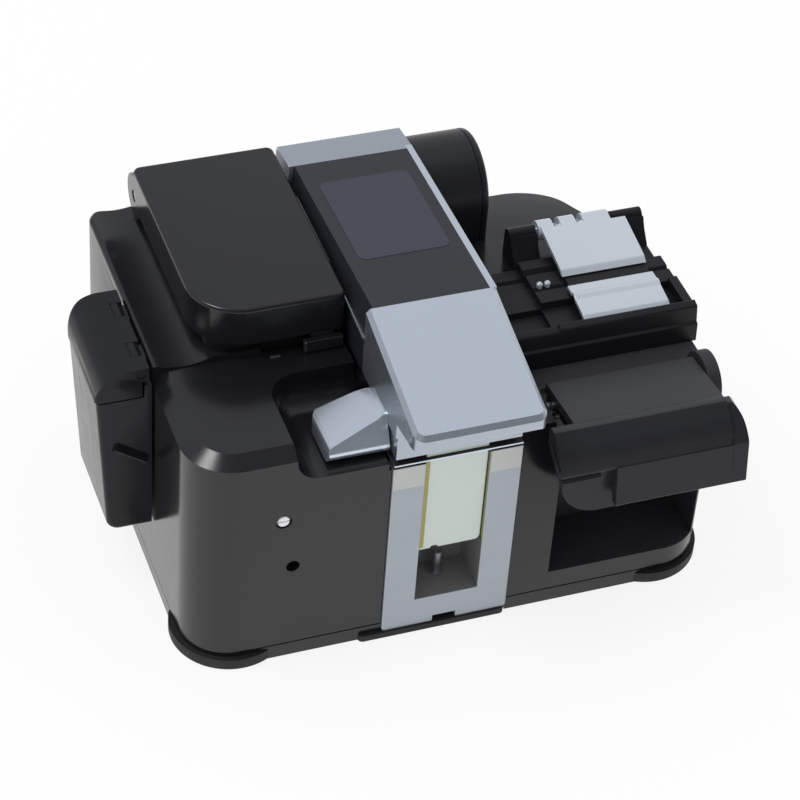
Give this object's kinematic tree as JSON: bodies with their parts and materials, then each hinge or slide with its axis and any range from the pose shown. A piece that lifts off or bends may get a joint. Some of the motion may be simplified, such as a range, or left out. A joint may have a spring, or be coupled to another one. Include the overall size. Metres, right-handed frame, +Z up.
{
  "type": "fibre cleaver",
  "caption": "Bench fibre cleaver: a lever with a clamp and an anvil closes over a wheel blade on a sliding carriage, between a grooved fibre platform and a scrap bin",
  "frame": {"origin": "On the resting plane, straight below the point where the fibre is cut", "axes": "+X runs right along the fibre, +Y to the back, +Z up"},
  "size_m": [0.1161, 0.0869, 0.0652],
  "materials": {
    "case_black": "satin black",
    "press_black": "glossy black",
    "panel_black": "satin black",
    "foot_rubber": "matt",
    "base_grey": "satin grey",
    "lever_silver": "satin silver",
    "plate_aluminium": "matt, machined",
    "bed_metal": "satin dark grey",
    "platform_black": "satin black",
    "clamp_silver": "satin",
    "bar_dark": "matt dark grey",
    "block_cream": "matt cream",
    "label_slate": "matt slate",
    "plug_light": "matt",
    "steel_pin": "ground",
    "spring_steel": "oiled",
    "blade_steel": "ground",
    "anvil_black": "matt",
    "pad_rubber": "matt",
    "roller_rubber": "matt"
  },
  "bodies": {
    "casing": {"base_plate": "base_grey", "base_screws": "steel_pin", "foot_front_left": "foot_rubber", "foot_front_right": "foot_rubber", "foot_rear_left": "foot_rubber", "foot_rear_right": "foot_rubber", "centre_pad": "foot_rubber", "front_case": "case_black", "rear_case": "case_black", "hinge_drum": "case_black", "drum_cap": "case_black", "lever_pin": "steel_pin", "lever_spring": "spring_steel", "guide_plate": "plate_aluminium", "stop_pin": "steel_pin", "front_plug": "plug_light", "bed_block": "bed_metal", "guide_rod_left": "steel_pin", "guide_rod_right": "steel_pin", "lower_pad_left": "pad_rubber", "lower_pad_right": "pad_rubber", "roller_frame": "base_grey", "lid_pin": "steel_pin", "fibre_platform": "platform_black", "locating_pins": "steel_pin", "clamp_rod": "steel_pin", "press_pin": "steel_pin", "press_spring": "spring_steel"},
    "lever": {"lever_frame": "lever_silver", "lever_panel": "panel_black", "label_plate": "label_slate", "lever_head": "lever_silver", "guide_block": "block_cream", "anvil": "anvil_black", "clamp_pins": "steel_pin"},
    "fibre_clamp": {"upper_clamp": "bed_metal", "upper_pads": "pad_rubber"},
    "carriage": {"blade_carriage": "bed_metal", "blade_pin": "steel_pin"},
    "blade": {"blade_wheel": "blade_steel"},
    "feed": {"feed_roller": "roller_rubber", "feed_axle": "steel_pin"},
    "pinch": {"pinch_roller": "roller_rubber", "pinch_axle": "steel_pin"},
    "lid": {"top_lid": "case_black"},
    "bin": {"scrap_bin": "case_black", "bin_pin": "steel_pin"},
    "cover": {"bin_cover": "case_black"},
    "clamp_lid": {"clamp_plate": "clamp_silver", "finger_plate": "clamp_silver", "clamp_bar": "bar_dark", "clamp_pad": "pad_rubber"},
    "press": {"press_lever": "press_black"}
  },
  "joints": [
    {"name": "lever_hinge", "type": "hinge", "parent": "casing", "child": "lever", "pos_m": [0, 0.0265, 0.0518], "axis": [-1, 0, 0], "range_deg": [0, 65], "stiffness_Nm_per_rad": 0.01, "springref_deg": 34.38},
    {"name": "clamp_slide", "type": "slide", "parent": "lever", "child": "fibre_clamp", "axis": [0, 0, 1], "range_m": [0, 0.0015], "stiffness_N_per_m": 300, "springref_m": -0.005},
    {"name": "carriage_slide", "type": "slide", "parent": "casing", "child": "carriage", "axis": [0, -1, 0], "range_m": [-0.0004, 0.0151]},
    {"name": "blade_turn", "type": "hinge", "parent": "carriage", "child": "blade", "pos_m": [0, 0.009, 0.0401], "axis": [1, 0, 0], "continuous": true},
    {"name": "feed_turn", "type": "hinge", "parent": "casing", "child": "feed", "pos_m": [-0.024, 0.0014, 0.0438], "axis": [0, -1, 0], "continuous": true},
    {"name": "lid_hinge", "type": "hinge", "parent": "casing", "child": "lid", "pos_m": [-0.027, 0.0315, 0.057], "axis": [-1, 0, 0], "range_deg": [0, 95]},
    {"name": "pinch_turn", "type": "hinge", "parent": "lid", "child": "pinch", "pos_m": [-0.024, 0.0014, 0.0522], "axis": [0, 1, 0], "continuous": true},
    {"name": "bin_slide", "type": "slide", "parent": "casing", "child": "bin", "axis": [-1, 0, 0], "range_m": [0, 0.015]},
    {"name": "cover_hinge", "type": "hinge", "parent": "bin", "child": "cover", "pos_m": [-0.0519, -0.0025, 0.0523], "axis": [0, 1, 0], "range_deg": [0, 100]},
    {"name": "clamp_hinge", "type": "hinge", "parent": "casing", "child": "clamp_lid", "pos_m": [0.042, 0.0095, 0.0503], "axis": [-1, 0, 0], "range_deg": [0, 110]},
    {"name": "press_hinge", "type": "hinge", "parent": "casing", "child": "press", "pos_m": [0.036, -0.0297, 0.0408], "axis": [1, 0, 0], "range_deg": [0, 9], "stiffness_Nm_per_rad": 0.02, "springref_deg": -17.19}
  ],
  "couplings": [
    {"joint": "carriage_slide", "follows": "lever_hinge", "m_per_rad": 0.0132}
  ]
}
